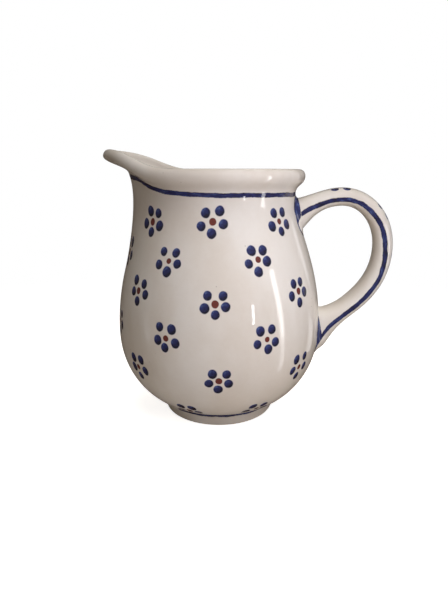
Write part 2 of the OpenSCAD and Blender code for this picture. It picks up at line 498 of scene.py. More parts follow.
# %% Build the body
OUTSIDE_STEP, INSIDE_STEP = 1.25, 1.4
HOLLOW, DOME, RIDGE = 0.8, 0.25, 0.14  # heights of the underside's hollow, the floor's middle and the ridges
TIP_R = 1.2  # radius of the smallest ring round each tip
under_r = np.concatenate([np.linspace(TIP_R, foot_r - foot_w, 16), [foot_r - foot_w / 2]])
hollow = HOLLOW * np.clip(1 - (under_r / (foot_r - foot_w)) ** 2, 0, 1)
under = np.stack([under_r, foot_h + hollow], 1)
outside = even_steps(outside_line, OUTSIDE_STEP)
inside = even_steps(inside_line, INSIDE_STEP)
ridge_fade = ease((inside[:, 1] - 14) / 20) * ease((112 - inside[:, 1]) / 15)
inside[:, 0] -= RIDGE * ridge_fade * (1 + np.sin(inside[:, 1] * 0.85))
floor_rs = np.linspace(floor_r, TIP_R, 13)[1:]
dome = DOME * ease((floor_r - floor_rs) / 6) * np.cos(floor_rs * 0.8)
bowl_floor = np.stack([floor_rs, floor_z + dome], 1)
body_line = np.vstack([under, outside, inside, bowl_floor])
tips = [[0, 0, foot_h + HOLLOW], [0, 0, floor_z + DOME]]
painted_body = make_piece("painted_body", wall_points(body_line, angles), tips)

# %% Paint maps of the body
across, above, which = flower_maps(outside, angles, flowers)
seeds = np.repeat(which[..., None], 4, -1).astype(float)
lines = line_maps_of_wall(outside, angles)
fill_maps(painted_body, len(body_line), False, len(under), lines, (across, above, seeds))
print("flowers drawn on the body:", len(np.unique(which)))

# %% [markdown]
# ## The rim with its spout
# Above the neck line the wall flares out, thickens into a rounded lip, and comes
# back down inside. It is a ring: its last row joins its first. The spout's bump is
# already part of wall_points, so the same call pulls the rim out into the spout.

# %% Build the rim
lip_mid = rim_r - lip_t / 2
lip_turn = np.radians(np.arange(9, 180, 9))
flare_out = even_steps(bezier([neck_r, neck_z], [neck_r, neck_z + rim_rise / 2],
                              [rim_r, rim_z - rim_rise / 2], [rim_r, rim_z]), 0.9)
lip_top = lip_crown - 0.08  # this curve is finer than the CAD's, and so it would stand a little higher
lip = np.stack([lip_mid + lip_t / 2 * np.cos(lip_turn), rim_z + lip_top * np.sin(lip_turn)], 1)
flare_in = even_steps(bezier([rim_r - lip_t, rim_z], [rim_r - lip_t, rim_z - rim_rise / 2],
                             [neck_r - wall, neck_z + rim_rise / 2], [neck_r - wall, neck_z]), 0.9)
rim_line = np.vstack([flare_out, lip, flare_in])
painted_rim = make_piece("painted_rim_and_spout", wall_points(rim_line, angles))

# %% Paint maps of the rim
a, up = wall_corners(angles, run_along(flare_out))
lines = (round_wall(neck_r, a), (up - neck_line_rise(a)) / neck_line_half_width(a))
fill_maps(painted_rim, len(rim_line), True, 0, lines)
print("the neck line runs", float(neck_line_rise(np.array(130.0))), "mm up the rim beside the spout")

# %% [markdown]
# ## The foot ring
# The foot is turned from the leather-hard clay with a sharp tool, so it is a plain
# ring with two small rounded edges. The glaze is wiped off where it stands, or it
# would stick to the kiln shelf. Its outline is carried round the same way.

# %% Build the foot ring
quarter = np.radians(np.arange(0, 91, 10))
bottom_out, bottom_in = foot_r - foot_draft, foot_r - foot_w + foot_draft
inner_side = np.linspace([foot_r - foot_w, foot_h], [bottom_in, foot_edge], 5)[:-1]
inner_edge = np.stack([bottom_in + foot_edge * (1 - np.cos(quarter)), foot_edge * (1 - np.sin(quarter))], 1)
outer_edge = np.stack([bottom_out + foot_edge * (np.sin(quarter) - 1), foot_edge * (1 - np.cos(quarter))], 1)
outer_side = np.linspace([bottom_out, foot_edge], [foot_r, foot_h], 8)[1:]
foot_line = np.vstack([inner_side, inner_edge, outer_edge, outer_side])
turned_foot = make_piece("turned_foot", wall_points(foot_line, angles))

# %% Line map of the foot ring
RING_LINE, RING_HALF = -0.75, 1.3  # the foot line on the ring: mm above its top edge, half width
a, drop = wall_corners(angles, outer_side[:, 1] - foot_h)
lines = (round_wall(foot_r, a), (drop - RING_LINE) / RING_HALF)
fill_maps(turned_foot, len(foot_line), True, len(foot_line) - len(outer_side), lines)
print("foot line painted on", len(outer_side) - 1, "rows of the foot ring")

# %% [markdown]
# ## The handle
# A pulled handle is a strap of clay, stroked long with a wet hand, bent and luted
# on while soft. Its middle line is three curves: up from the neck to the crown,
# round the outside, and down to the belly. Across it the section is a rounded
# oval. Towards each joint the strap thickens and swings round to lie on the wall.

# %% The strap's middle line
upper_end = np.array([wall_r(upper_z), upper_z])
lower_end = np.array([wall_r(lower_z), lower_z])
outer_x = belly_r + handle_reach - strap_t / 2 - 0.1
crown_z = neck_z + handle_crown - strap_t / 2
crown = np.array([mix(upper_end[0], outer_x, 0.5), crown_z])
outermost = np.array([outer_x, mix(lower_z, crown_z, 0.63)])
arch_w, turn_w = crown[0] - upper_end[0], outermost[0] - crown[0]
turn_h, fall_h = crown[1] - outermost[1], outermost[1] - lower_end[1]


def leaving(end, length, lean):
    """A point a length away from a joint, in the direction that leans this many degrees above +X."""
    return end + length * np.array([math.cos(math.radians(lean)), math.sin(math.radians(lean))])


legs = [
    (upper_end, leaving(upper_end, 0.19 * arch_w, 56), crown - [0.44 * arch_w, 0], crown),
    (crown, crown + [0.55 * turn_w, 0], outermost + [0, 0.57 * turn_h], outermost),
    (outermost, outermost - [0, 0.63 * fall_h], leaving(lower_end, 0.19 * fall_h, 68), lower_end),
]
FINE = 400  # points that each leg is worked out at
middle_line = np.vstack([bezier(*leg, n=FINE)[(i > 0):] for i, leg in enumerate(legs)])
middle_s = np.linspace(0, 3, len(middle_line))
print("the strap's middle line is", round(float(run_along(middle_line)[-1]), 1), "mm long")


# %% The strap's section
def strap_middle(s):
    """The middle line's point at s, which runs from 0 at the upper joint to 3 at the lower."""
    return np.stack([np.interp(s, middle_s, middle_line[:, k]) for k in range(2)], -1)


def near_upper(s):
    """1 at the upper joint, falling as a square to 0 a share 0.74 of a leg away."""
    return np.clip(1 - s / 0.74, 0, 1) ** 2


def near_lower(s):
    """The same at the lower joint, over a share 0.46 of a leg."""
    return np.clip(1 - (3 - s) / 0.46, 0, 1) ** 2


def strap_across(s):
    """The direction through the strap to its outer face: square to the middle line, upright at joints."""
    step = strap_middle(np.minimum(s + 0.01, 3)) - strap_middle(np.maximum(s - 0.01, 0))
    square = np.stack([-step[..., 1], step[..., 0]], -1) / np.linalg.norm(step, axis=-1, keepdims=True)
    a, b = near_upper(s)[..., None], near_lower(s)[..., None]
    v = (1 - a - b) * square + (a - b) * np.array([0.0, 1.0])
    return v / np.linalg.norm(v, axis=-1, keepdims=True)


SECTION_POWER = 0.84


def soft(v):
    """The number's size to a power, with its sign kept. Below 1, it fills an oval out to a rectangle."""
    return np.sign(v) * np.abs(v) ** SECTION_POWER


def strap_rings(s, turns):
    """Rings of the strap: across its width by soft(cos), through its thickness by soft(sin)."""
    s = np.atleast_1d(s)
    hand = 0.10 * np.sin(s * 5.1 + 0.8) + 0.06 * np.sin(s * 11.7)
    half_t = strap_t / 2 + (upper_joint_h - strap_t) / 2 * near_upper(s)
    half_t = half_t + (lower_joint_h - strap_t) / 2 * near_lower(s) - 0.05
    half_w = (strap_w + (joint_w - strap_w) * (near_upper(s) + near_lower(s))) / 2
    half_w = half_w + hand * (1 - near_upper(s)) * (1 - near_lower(s))
    c, d = soft(np.cos(np.radians(turns))), soft(np.sin(np.radians(turns)))
    m, n = strap_middle(s), strap_across(s)
    xz = m[:, None, :] + n[:, None, :] * (half_t[:, None] * d[None, :])[..., None]
    return np.stack([xz[..., 0], half_w[:, None] * c[None, :], xz[..., 1]], -1)


print("strap", strap_w, "mm wide and", strap_t, "mm thick")


# %% The strap's joints
def joint_ring(zc, h, turn, turns, k=1.0, grow=0.0, lift=0.0):
    """A rounded oval laid on the wall about the height zc: its x comes from the wall's radius there."""
    c, d = soft(np.cos(np.radians(turns))), soft(np.sin(np.radians(turns)))
    y = k * (joint_w / 2 + grow) * c
    z = zc + k * turn * (h / 2 + grow) * d
    return np.stack([np.sqrt((wall_r(z) + lift) ** 2 - y * y), y, z], -1)


AROUND = 96
turns = np.arange(AROUND) * 360 / AROUND
upper_clear = 0.1 * seam_h / np.linalg.norm(strap_middle(0.1) - strap_middle(0))
lower_clear = 3 - 0.05 * seam_h / np.linalg.norm(strap_middle(2.95) - strap_middle(3))
caps = np.linspace(0.2, 1, 5)
upper_cap = [joint_ring(upper_z, upper_joint_h, 1, turns, k) for k in caps]
lower_cap = [joint_ring(lower_z, lower_joint_h, -1, turns, k) for k in caps[::-1]]
s_run = np.linspace(upper_clear, lower_clear, 1201)
strap_run = run_along(strap_middle(s_run))
s_even = np.interp(np.linspace(0, strap_run[-1], 150), strap_run, s_run)
handle_grid = np.stack(upper_cap + list(strap_rings(s_even, turns)) + lower_cap)
tips = [[wall_r(upper_z), 0, upper_z], [wall_r(lower_z), 0, lower_z]]
painted_handle = make_piece("painted_handle", handle_grid, tips, sharp=60)

# %% [markdown]
# ## Paint maps of the handle
# The handle has a line along each edge of its outer face, where a brush is drawn
# along the strap, and a row of flowers between them. The strokes round the joints
# are on the seams, which come later. Distances are measured on the finished grid,
# along its rows and its columns.

# %% Distances on the handle
closed_turns = np.append(turns, 360)
open_grid = np.concatenate([handle_grid, handle_grid[:, :1]], 1)
around = np.linalg.norm(np.diff(open_grid, axis=1), axis=2)
around = np.concatenate([np.zeros((len(open_grid), 1)), np.cumsum(around, 1)], 1)
down = np.linalg.norm(np.diff(open_grid, axis=0), axis=2)
down = np.concatenate([np.zeros((1, down.shape[1])), np.cumsum(down, 0)], 0)
n_caps = len(caps)
outer_mid = np.argmin(np.abs(closed_turns - 90))
along_strap = np.broadcast_to(down[:, outer_mid, None] - down[n_caps - 1, outer_mid], down.shape)
print("outer face of the strap:", round(float(along_strap[-n_caps, 0]), 1), "mm long")

# %% Lines of the handle
EDGE_LINE = np.array([  # place along the strap from 0 to 1, and degrees round the section to the line
    [0, 2], [0.04, -3], [0.09, -8.5], [0.14, -10.5], [0.3, -13], [0.45, -6], [0.6, 3], [0.8, 4],
    [0.86, 4.5], [0.91, 8], [0.955, 12], [1, 15]])
EDGE_HALF = 1.3  # half the line's width


def at_turn(values, turn):
    """The distance round each ring to that ring's own turn. A turn below 0 gives a distance below 0."""
    turn = np.broadcast_to(turn, len(values))
    place = turn % 360 / 360 * AROUND
    low, row = place.astype(int), np.arange(len(values))
    part_lap = mix(values[row, low], values[row, low + 1], place - low)
    return (part_lap + values[:, -1] * np.floor(turn / 360))[:, None]


line_options = []
along = corners_of(along_strap, False)
edge_turn = np.interp(along_strap[:, 0] / along_strap[-n_caps, 0], EDGE_LINE[:, 0], EDGE_LINE[:, 1])
for turn in (edge_turn, 180 - edge_turn):
    for lap in (-1, 0, 1):  # the same line, counted once round the section each way
        across = around - at_turn(around, turn) + lap * around[:, -1:]
        line_options.append((along, corners_of(across / EDGE_HALF, False), EDGE_HALF))
handle_lines = nearest_line(line_options)
print(len(line_options) // 3, "lines along the handle")

# %% Flower map of the handle
HANDLE_FLOWERS = np.array([24.0, 52.0, 80.0, 107.0])  # mm along the outer face
ASIDE = 0.9  # the painter set them a little to one side
FACE_HALF = 9.2  # half the width of the face that they are painted on
FIRST_SEED = 60  # seeds below this are the body's flowers
u, v = corners_of(around - at_turn(around, 90) - ASIDE, False), along
nearest_flower = np.argmin(np.abs(middle(v)[None] - HANDLE_FLOWERS[:, None, None]), 0)
u = np.where(np.abs(middle(u))[..., None] < FACE_HALF, u, FAR)
v = v - HANDLE_FLOWERS[nearest_flower][..., None]
ids = np.repeat((nearest_flower + FIRST_SEED)[..., None], 4, -1).astype(float)
fill_maps(painted_handle, len(handle_grid), False, 0, handle_lines, (v, u, ids))
print(len(HANDLE_FLOWERS), "flowers on the handle")

# %% [markdown]
# ## The joint seams
# Where the strap meets the wall, the potter fills the corner with slip and smooths
# it with a finger. The seam is a small hollow fillet that runs round the joint. Its
# section bends from the strap down to the wall, and closes behind along the corner.


# %% Build the seams
def seam_grid(strap_ring, corner_ring, wall_ring, steps=9):
    """Rings across the fillet: a curve of second degree from strap to wall, pulled towards the corner."""
    t = np.linspace(0, 1, steps)[:, None, None]
    pull = mix((strap_ring + wall_ring) / 2, corner_ring, 0.55)
    fillet = (1 - t) ** 2 * strap_ring + 2 * t * (1 - t) * pull + t * t * wall_ring
    return np.concatenate([fillet, corner_ring[None]])


def seam_maps(piece, grid, full_to):
    """Line map of a seam: distance round it, and half-widths across it from the stroke's middle.

    On one side of a level the stroke covers the whole seam. On the other it keeps to the last 1 mm,
    next to the wall. full_to gives that level, as a sine of the turn round the seam, and the side
    that is full: 1 or -1.
    """
    closed = np.concatenate([grid, grid[:, :1]], 1)
    run = np.linalg.norm(np.diff(closed[4], axis=0), axis=1)
    run = np.broadcast_to(np.append(0, np.cumsum(run)), closed.shape[:2])
    down = np.linalg.norm(np.diff(closed[:-1], axis=0), axis=2)
    down = np.concatenate([np.zeros((1, closed.shape[1])), np.cumsum(down, 0)], 0)
    level, side = full_to
    full = ease(0.5 + 3 * side * (np.sin(np.radians(np.linspace(0, 360, closed.shape[1]))) - level))
    half = mix(0.5, down[-1] / 2 + 0.1, full)
    across = (down - down[-1] + half) / half
    across = np.concatenate([across, across[-1:]], 0)
    fill_maps(piece, len(grid), True, 0, (corners_of(run, True), corners_of(across, True)))


SEAM_TURNS = np.arange(144) * 2.5
upper_grid = seam_grid(strap_rings(upper_clear, SEAM_TURNS)[0],
                       joint_ring(upper_z, upper_joint_h, 1, SEAM_TURNS, lift=-0.3),
                       joint_ring(upper_z, upper_joint_h, 1, SEAM_TURNS, grow=seam_w, lift=-0.1))
lower_grid = seam_grid(strap_rings(lower_clear, SEAM_TURNS)[0],
                       joint_ring(lower_z, lower_joint_h, -1, SEAM_TURNS, lift=-0.3),
                       joint_ring(lower_z, lower_joint_h, -1, SEAM_TURNS, grow=seam_w, lift=-0.1))
upper_seam = make_piece("upper_joint_line", upper_grid)
lower_seam = make_piece("lower_joint_line", lower_grid)
seam_maps(upper_seam, upper_grid, (-0.15, 1))
seam_maps(lower_seam, lower_grid, (0.45, -1))

# %% [markdown]
# ## Which CAD piece each one stands for
# Each new piece hides the CAD piece that it stands for and rides on the same body.
# A fired jug has no moving parts, so all of them ride on the one body, "root".

# %% Tie the pieces to the frame
stands_for = [
    (painted_body, "body", "cream_glaze"),
    (painted_rim, "rim_and_spout", "cream_glaze"),
    (turned_foot, "foot_ring", "foot_stoneware"),
    (painted_handle, "handle", "cream_glaze"),
    (upper_seam, "upper_handle_seam", "cobalt_line"),
    (lower_seam, "lower_handle_seam", "cobalt_line"),
]
for piece, cad_node, slot in stands_for:
    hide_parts(cad_node)
    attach(piece, "root")
    del piece["turned"]
print(len(stands_for), "pieces tied to the frame")

# %% [markdown]
# ## Wiring shader nodes
# A material is a small machine of nodes. Adding and linking them by hand takes many
# lines, so this helper adds a node, sets it and links what feeds it in one call. A
# feed is either a number or another node's socket.


# %% Node helper
class Wiring:
    """Adds nodes to one node tree and links them as it goes."""

    def __init__(self, tree):
        self.tree = tree

    def feed(self, socket, value):
        """Links a socket to another, or sets its number."""
        if isinstance(value, bpy.types.NodeSocket):
            self.tree.links.new(value, socket)
        elif value is not None:
            socket.default_value = value

    def add(self, kind, *feeds, **settings):
        """One node, its settings, and its inputs fed in order."""
        node = self.tree.nodes.new("ShaderNode" + kind)
        for name, value in settings.items():
            setattr(node, name, value)
        for socket, value in zip(node.inputs, feeds):
            self.feed(socket, value)
        return node

    def calc(self, operation, *feeds, clamp=False):
        """A sum on numbers, such as ADD or MULTIPLY."""
        return self.add("Math", *feeds, operation=operation, use_clamp=clamp).outputs[0]

    def move(self, operation, *feeds):
        """A sum on vectors. LENGTH and DOT_PRODUCT put out a number."""
        node = self.add("VectorMath", *feeds, operation=operation)
        return node.outputs[1 if operation in ("LENGTH", "DOT_PRODUCT") else 0]

    def between(self, value, low, high, to_low=0.0, to_high=1.0, step="SMOOTHSTEP"):
        """The value's place between low and high, eased, as a number from to_low to to_high."""
        return self.add("MapRange", value, low, high, to_low, to_high,
                        interpolation_type=step, clamp=True).outputs[0]

    def noise(self, place, scale, detail=2.0, rough=0.5):
        """A cloudy number between 0 and 1 that changes over the surface."""
        node = self.add("TexNoise", normalize=True)
        for name, value in (("Vector", place), ("Scale", scale), ("Detail", detail), ("Roughness", rough)):
            self.feed(node.inputs[name], value)
        return node.outputs[0]

    def cloud(self, place, scale, detail, amount):
        """The same, but centred on 0 and as strong as amount says."""
        return self.calc("MULTIPLY", self.calc("SUBTRACT", self.noise(place, scale, detail), 0.5), amount)

    def blend(self, share, first, second):
        """One colour painted over another by a share."""
        node = self.add("Mix", data_type="RGBA", blend_type="MIX")
        for index, value in ((0, share), (6, first), (7, second)):
            self.feed(node.inputs[index], value)
        return node.outputs[2]

    def part(self, vector, axis):
        """One of a vector's three numbers."""
        return self.add("SeparateXYZ", vector).outputs["XYZ".index(axis)]

    def join(self, x, y, z=0.0):
        """A vector from three numbers."""
        return self.add("CombineXYZ", x, y, z).outputs[0]


def colour(red, green, blue):
    """A colour as the eye reads it, 0 to 255, as the light that nodes work with."""
    c = np.array([red, green, blue]) / 255
    light = np.where(c <= 0.04045, c / 12.92, ((c + 0.055) / 1.055) ** 2.4)
    return (*[float(v) for v in light], 1.0)


print("cobalt blue as light:", [round(v, 3) for v in colour(45, 60, 115)[:3]])


# %% Node group helper
def new_group(name, takes, gives):
    """An empty node group. takes and gives list its sockets as (name, type, starting value)."""
    group = bpy.data.node_groups.new(name, "ShaderNodeTree")
    for in_out, sockets in (("INPUT", takes), ("OUTPUT", gives)):
        for label, kind, start in sockets:
            socket = group.interface.new_socket(label, in_out=in_out, socket_type="NodeSocket" + kind)
            if start is not None and in_out == "INPUT":
                socket.default_value = start
    inside, outside = group.nodes.new("NodeGroupInput"), group.nodes.new("NodeGroupOutput")
    return Wiring(group), inside.outputs, outside.inputs


def use_group(wiring, wiring_group, **feeds):
    """One use of a node group, with feeds named for its sockets."""
    node = wiring.tree.nodes.new("ShaderNodeGroup")
    node.node_tree = wiring_group.tree
    for name, value in feeds.items():
        wiring.feed(node.inputs[name.replace("_", " ")], value)
    return node.outputs


print("groups are made with new_group(name, takes, gives)")

# %% [markdown]
# ## One painted dot
# The painter dips a brush or a fingertip in cobalt and dabs it on. The colour is
# thin where the dab began and gathers, darker, where it was lifted, and the glaze
# softens its edge. The group finds the distance from the dot's centre, shakes it
# with a little noise, and calls everything nearer than the radius painted.

# %% Group: painted dot
dot_group, take, give = new_group("painted dot", [
    ("Place", "Vector", None), ("Centre", "Vector", None), ("Radius", "Float", 2.0), ("Seed", "Float", 0.0),
], [("Mask", "Float", None), ("Tone", "Float", None)])
w = dot_group
off = w.move("SUBTRACT", take["Place"], take["Centre"])
shaped = w.move("MULTIPLY", off, (1.0, 0.9, 0.0))
grain = w.move("ADD", take["Place"], w.join(w.calc("MULTIPLY", take["Seed"], 7.31), take["Seed"], 0.0))
far_off = w.calc("ADD", w.move("LENGTH", shaped), w.cloud(grain, 0.30, 1.0, 0.55))
ratio = w.calc("DIVIDE", far_off, take["Radius"])
w.feed(give["Mask"], w.between(ratio, 1.12, 0.92))
lean = w.calc("DIVIDE", w.move("DOT_PRODUCT", off, (0.62, -0.78, 0.0)), take["Radius"])
tone = w.calc("ADD", w.calc("MULTIPLY", lean, 0.42), w.cloud(grain, 0.7, 3.0, 0.9))
tone = w.calc("ADD", tone, w.calc("MULTIPLY", w.between(ratio, 0.55, 1.0), 0.14))
w.feed(give["Tone"], w.calc("ADD", tone, 0.58, clamp=True))
print("painted dot:", len(w.tree.nodes), "nodes")

# %% [markdown]
# ## A flower of five dots
# Five dots stand round a smaller rust-red one. No two flowers are alike, because a
# hand made each. White Noise turns the flower's number and the dot's number into
# three random numbers, which move the dot and change its size.

# %% Group: five-dot flower
flower_group, take, give = new_group("five dot flower", [
    ("Place", "Vector", None), ("Seed", "Float", 0.0), ("Ring", "Float", 5.5), ("Dot", "Float", 2.24),
    ("Heart", "Float", 1.52),
], [("Blue", "Float", None), ("Tone", "Float", None), ("Rust", "Float", None)])
w = flower_group
blue, tone = 0.0, 0.0
for number in range(6):
    draw_from = w.join(take["Seed"], float(number), 3.0)
    chance = w.add("TexWhiteNoise", draw_from, noise_dimensions="3D").outputs[1]
    shake = w.move("SUBTRACT", chance, (0.5, 0.5, 0.5))
    if number == 5:  # the rust-red heart
        swell = w.between(w.part(chance, "Z"), 0, 1, 0.85, 1.15)
        heart = use_group(w, dot_group, Place=take["Place"], Seed=w.calc("ADD", take["Seed"], 0.5),
                          Centre=w.move("MULTIPLY", shake, (0.7, 0.7, 0.0)),
                          Radius=w.calc("MULTIPLY", take["Heart"], swell))
        w.feed(give["Rust"], heart["Mask"])
        break
    turn = math.radians(54 + 72 * number)
    spot = w.move("SCALE", (math.cos(turn), math.sin(turn), 0.0))
    spot.node.inputs["Scale"].default_value = 1.0
    w.feed(spot.node.inputs["Scale"], take["Ring"])
    spot = w.move("ADD", spot, w.move("MULTIPLY", shake, (1.3, 1.3, 0.0)))
    size = w.calc("MULTIPLY", take["Dot"], w.between(w.part(chance, "Z"), 0, 1, 0.92, 1.10, "LINEAR"))
    dot = use_group(w, dot_group, Place=take["Place"], Centre=spot, Radius=size,
                    Seed=w.calc("ADD", take["Seed"], 0.13 * number))
    tone = w.calc("MAXIMUM", tone, w.calc("MULTIPLY", dot["Mask"], dot["Tone"]))
    blue = w.calc("MAXIMUM", blue, dot["Mask"])
w.feed(give["Blue"], blue)
w.feed(give["Tone"], tone)
print("five dot flower:", len(w.tree.nodes), "nodes")

# %% [markdown]
# ## A brushed line
# A loaded brush leaves streaks that run along its stroke, and a stroke's edges
# wander and swell. The "Line" map gives the place along and across the stroke.
# Noise that is stretched along the stroke makes the streaks, and slower noise moves
# the edges. The colour gathers a little at both edges.

# %% Group: brushed line
line_group, take, give = new_group("brushed line", [
    ("Stroke", "Vector", None),
], [("Mask", "Float", None), ("Tone", "Float", None)])
w = line_group
along, across = w.part(take["Stroke"], "X"), w.part(take["Stroke"], "Y")
across = w.calc("ADD", across, w.cloud(w.join(along, 4.0), 0.09, 2.0, 0.9))  # the stroke wanders
swell = w.cloud(w.join(along, 31.0), 0.16, 2.0, 0.7)
ragged = w.cloud(w.join(along, across), 0.9, 3.0, 0.35)
span = w.calc("ABSOLUTE", across)
edge = w.calc("ADD", span, w.calc("ADD", swell, ragged))
w.feed(give["Mask"], w.between(edge, 1.12, 0.84))
streak = w.noise(w.join(w.calc("MULTIPLY", along, 0.22), w.calc("MULTIPLY", across, 2.2), 9.0), 1.0, 3.0)
patch = w.noise(w.join(along, across, 3.0), 0.16, 2.0)
tone = w.calc("ADD", w.calc("MULTIPLY", streak, 1.3), w.calc("MULTIPLY", patch, 1.0))
tone = w.calc("ADD", tone, w.calc("MULTIPLY", w.between(span, 0.45, 1.0), 0.2))
w.feed(give["Tone"], w.calc("SUBTRACT", tone, 0.62, clamp=True))
print("brushed line:", len(w.tree.nodes), "nodes")

# %% [markdown]
# ## Clear glaze over stoneware
# Under the glaze the cream body isn't one flat colour: it drifts between warm and
# pale where the glaze ran thicker, and iron in the clay makes a few small brown
# specks. The glaze is like glass, but its surface rolls gently, which bends the
# reflections. All of it reads Object coordinates, so it stays fixed to the jug.

# %% Group: stoneware glaze
glaze_group, take, give = new_group("stoneware glaze", [
    ("Place", "Vector", None), ("Pale", "Color", (1, 1, 1, 1)), ("Warm", "Color", (1, 1, 1, 1)),
    ("Speck", "Color", (0, 0, 0, 1)),
], [("Colour", "Color", None), ("Roughness", "Float", None), ("Height", "Float", None)])
w = glaze_group
drift = w.noise(w.move("MULTIPLY", take["Place"], (1.0, 1.0, 0.6)), 26.0, 3.0, 0.55)
fine = w.calc("SUBTRACT", w.noise(take["Place"], 420.0, 3.0, 0.6), 0.5)
share = w.calc("ADD", w.between(drift, 0.36, 0.66), w.calc("MULTIPLY", fine, 0.5), clamp=True)
cream = w.blend(share, take["Pale"], take["Warm"])
cells = w.add("TexVoronoi", feature="F1")
w.feed(cells.inputs["Vector"], take["Place"])
cells.inputs["Scale"].default_value = 230.0
rare = w.between(w.part(cells.outputs["Color"], "X"), 0.90, 0.93)
speck = w.calc("MULTIPLY", w.between(cells.outputs["Distance"], 0.075, 0.035), rare)
w.feed(give["Colour"], w.blend(w.calc("MULTIPLY", speck, 0.62), cream, take["Speck"]))
w.feed(give["Roughness"], w.between(w.noise(take["Place"], 60.0, 3.0), 0.3, 0.7, 0.055, 0.10))
roll = w.noise(take["Place"], 48.0, 1.0, 0.4)
rings = w.noise(w.move("MULTIPLY", take["Place"], (0.06, 0.06, 1.0)), 230.0, 1.0)
peel = w.noise(take["Place"], 330.0, 1.0)
height = w.calc("ADD", w.calc("MULTIPLY", roll, 0.6), w.calc("MULTIPLY", rings, 0.10))
w.feed(give["Height"], w.calc("ADD", height, w.calc("MULTIPLY", peel, 0.02)))
print("stoneware glaze:", len(w.tree.nodes), "nodes")

# %% [markdown]
# ## The materials
# One function builds them all. It lays the cream glaze down, paints the flowers and
# the lines over it, and feeds the result to one Principled shader. Cobalt's tone
# runs from a thin grey-blue to a deep navy where it gathered.

# %% Colours of the paints
PALE, WARM, SPECK = colour(232, 225, 214), colour(223, 213, 199), colour(112, 84, 62)
THIN_BLUE, FULL_BLUE, DEEP_BLUE = colour(70, 90, 144), colour(22, 31, 86), colour(2, 3, 38)
RUST, DEEP_RUST = colour(120, 30, 18), colour(74, 12, 8)
BARE_CLAY, DARK_CLAY = colour(205, 190, 166), colour(176, 158, 132)


def cobalt(w, tone):
    """The cobalt's colour by its tone: thin below 0.5, deep above it."""
    lighter = w.blend(w.between(tone, 0.05, 0.5), THIN_BLUE, FULL_BLUE)
    return w.blend(w.between(tone, 0.5, 0.95), lighter, DEEP_BLUE)


print("cobalt runs from", [round(v, 2) for v in THIN_BLUE[:3]], "to", [round(v, 2) for v in DEEP_BLUE[:3]])


# %% Material function
def glazed(name, pale=PALE, warm=WARM, flowers=True, bare_below=None):
    """A glazed material: cream, then flowers, then lines, then bare clay under a height in mm."""
    material = bpy.data.materials.new(name)
    material.use_nodes = True
    tree = material.node_tree
    tree.nodes.clear()
    w = Wiring(tree)
    place = w.add("TexCoord").outputs["Object"]
    glaze = use_group(w, glaze_group, Place=place, Pale=pale, Warm=warm, Speck=SPECK)
    finish, rough = glaze["Colour"], glaze["Roughness"]
    if flowers:
        seed = w.calc("ROUND", w.part(w.add("UVMap", uv_map="Seed").outputs[0], "X"))
        spot = use_group(w, flower_group, Place=w.add("UVMap", uv_map="Flower").outputs[0], Seed=seed)
        shown = w.calc("MULTIPLY", spot["Blue"], 0.97)
        finish = w.blend(shown, finish, cobalt(w, spot["Tone"]))
        rust = w.blend(w.noise(place, 900.0), RUST, DEEP_RUST)
        finish = w.blend(w.calc("MULTIPLY", spot["Rust"], 0.95), finish, rust)
    stroke = use_group(w, line_group, Stroke=w.add("UVMap", uv_map="Line").outputs[0])
    shown = w.calc("MULTIPLY", stroke["Mask"], 0.97)
    finish = w.blend(shown, finish, cobalt(w, stroke["Tone"]))
    if bare_below is not None:
        height = w.calc("ADD", w.part(place, "Z"), w.calc("MULTIPLY", w.noise(place, 160.0), 0.0006))
        bare = w.between(height, (bare_below + 0.5) * MM, bare_below * MM)
        grit = w.noise(place, 1500.0, 4.0, 0.7)
        clay = w.blend(grit, BARE_CLAY, DARK_CLAY)
        finish = w.blend(bare, finish, clay)
        rough = w.calc("ADD", rough, w.calc("MULTIPLY", bare, 0.6))
    bump = w.add("Bump")
    bump.inputs["Strength"].default_value = 0.35
    bump.inputs["Distance"].default_value = 0.0009
    w.feed(bump.inputs["Height"], glaze["Height"])
    shader = w.add("BsdfPrincipled")
    w.feed(shader.inputs["Base Color"], finish)
    w.feed(shader.inputs["Roughness"], rough)
    w.feed(shader.inputs["Normal"], bump.outputs[0])
    shader.inputs["IOR"].default_value = 1.5
    w.add("OutputMaterial", shader.outputs[0])
    print(f"{name}: {len(tree.nodes)} nodes")
    return material


# %% Give each piece its material
painted_glaze = glazed("painted_cream_glaze")
foot_glaze = glazed("foot_glaze", flowers=False, bare_below=0.9)
seam_glaze = glazed("cobalt_seam_glaze", flowers=False)
for piece in (painted_body, painted_rim, painted_handle):
    piece.data.materials.append(painted_glaze)
turned_foot.data.materials.append(foot_glaze)
for piece in (upper_seam, lower_seam):
    piece.data.materials.append(seam_glaze)

# %% [markdown]
# ## Floor and surroundings
# The jug stands on a plain pale floor that fades into a white surrounding, so no
# edge of it is seen. A glossy pot mirrors whatever is round it. If that were white
# all over, the glaze would look milky, so only the camera sees white: the pot sees
# a dim, warm room. The floor is hidden from reflections for the same reason.


# %% Floor
def shader_tree(owner):
    """The owner's node tree, emptied, with its helper."""
    owner.use_nodes = True
    owner.node_tree.nodes.clear()
    return Wiring(owner.node_tree)


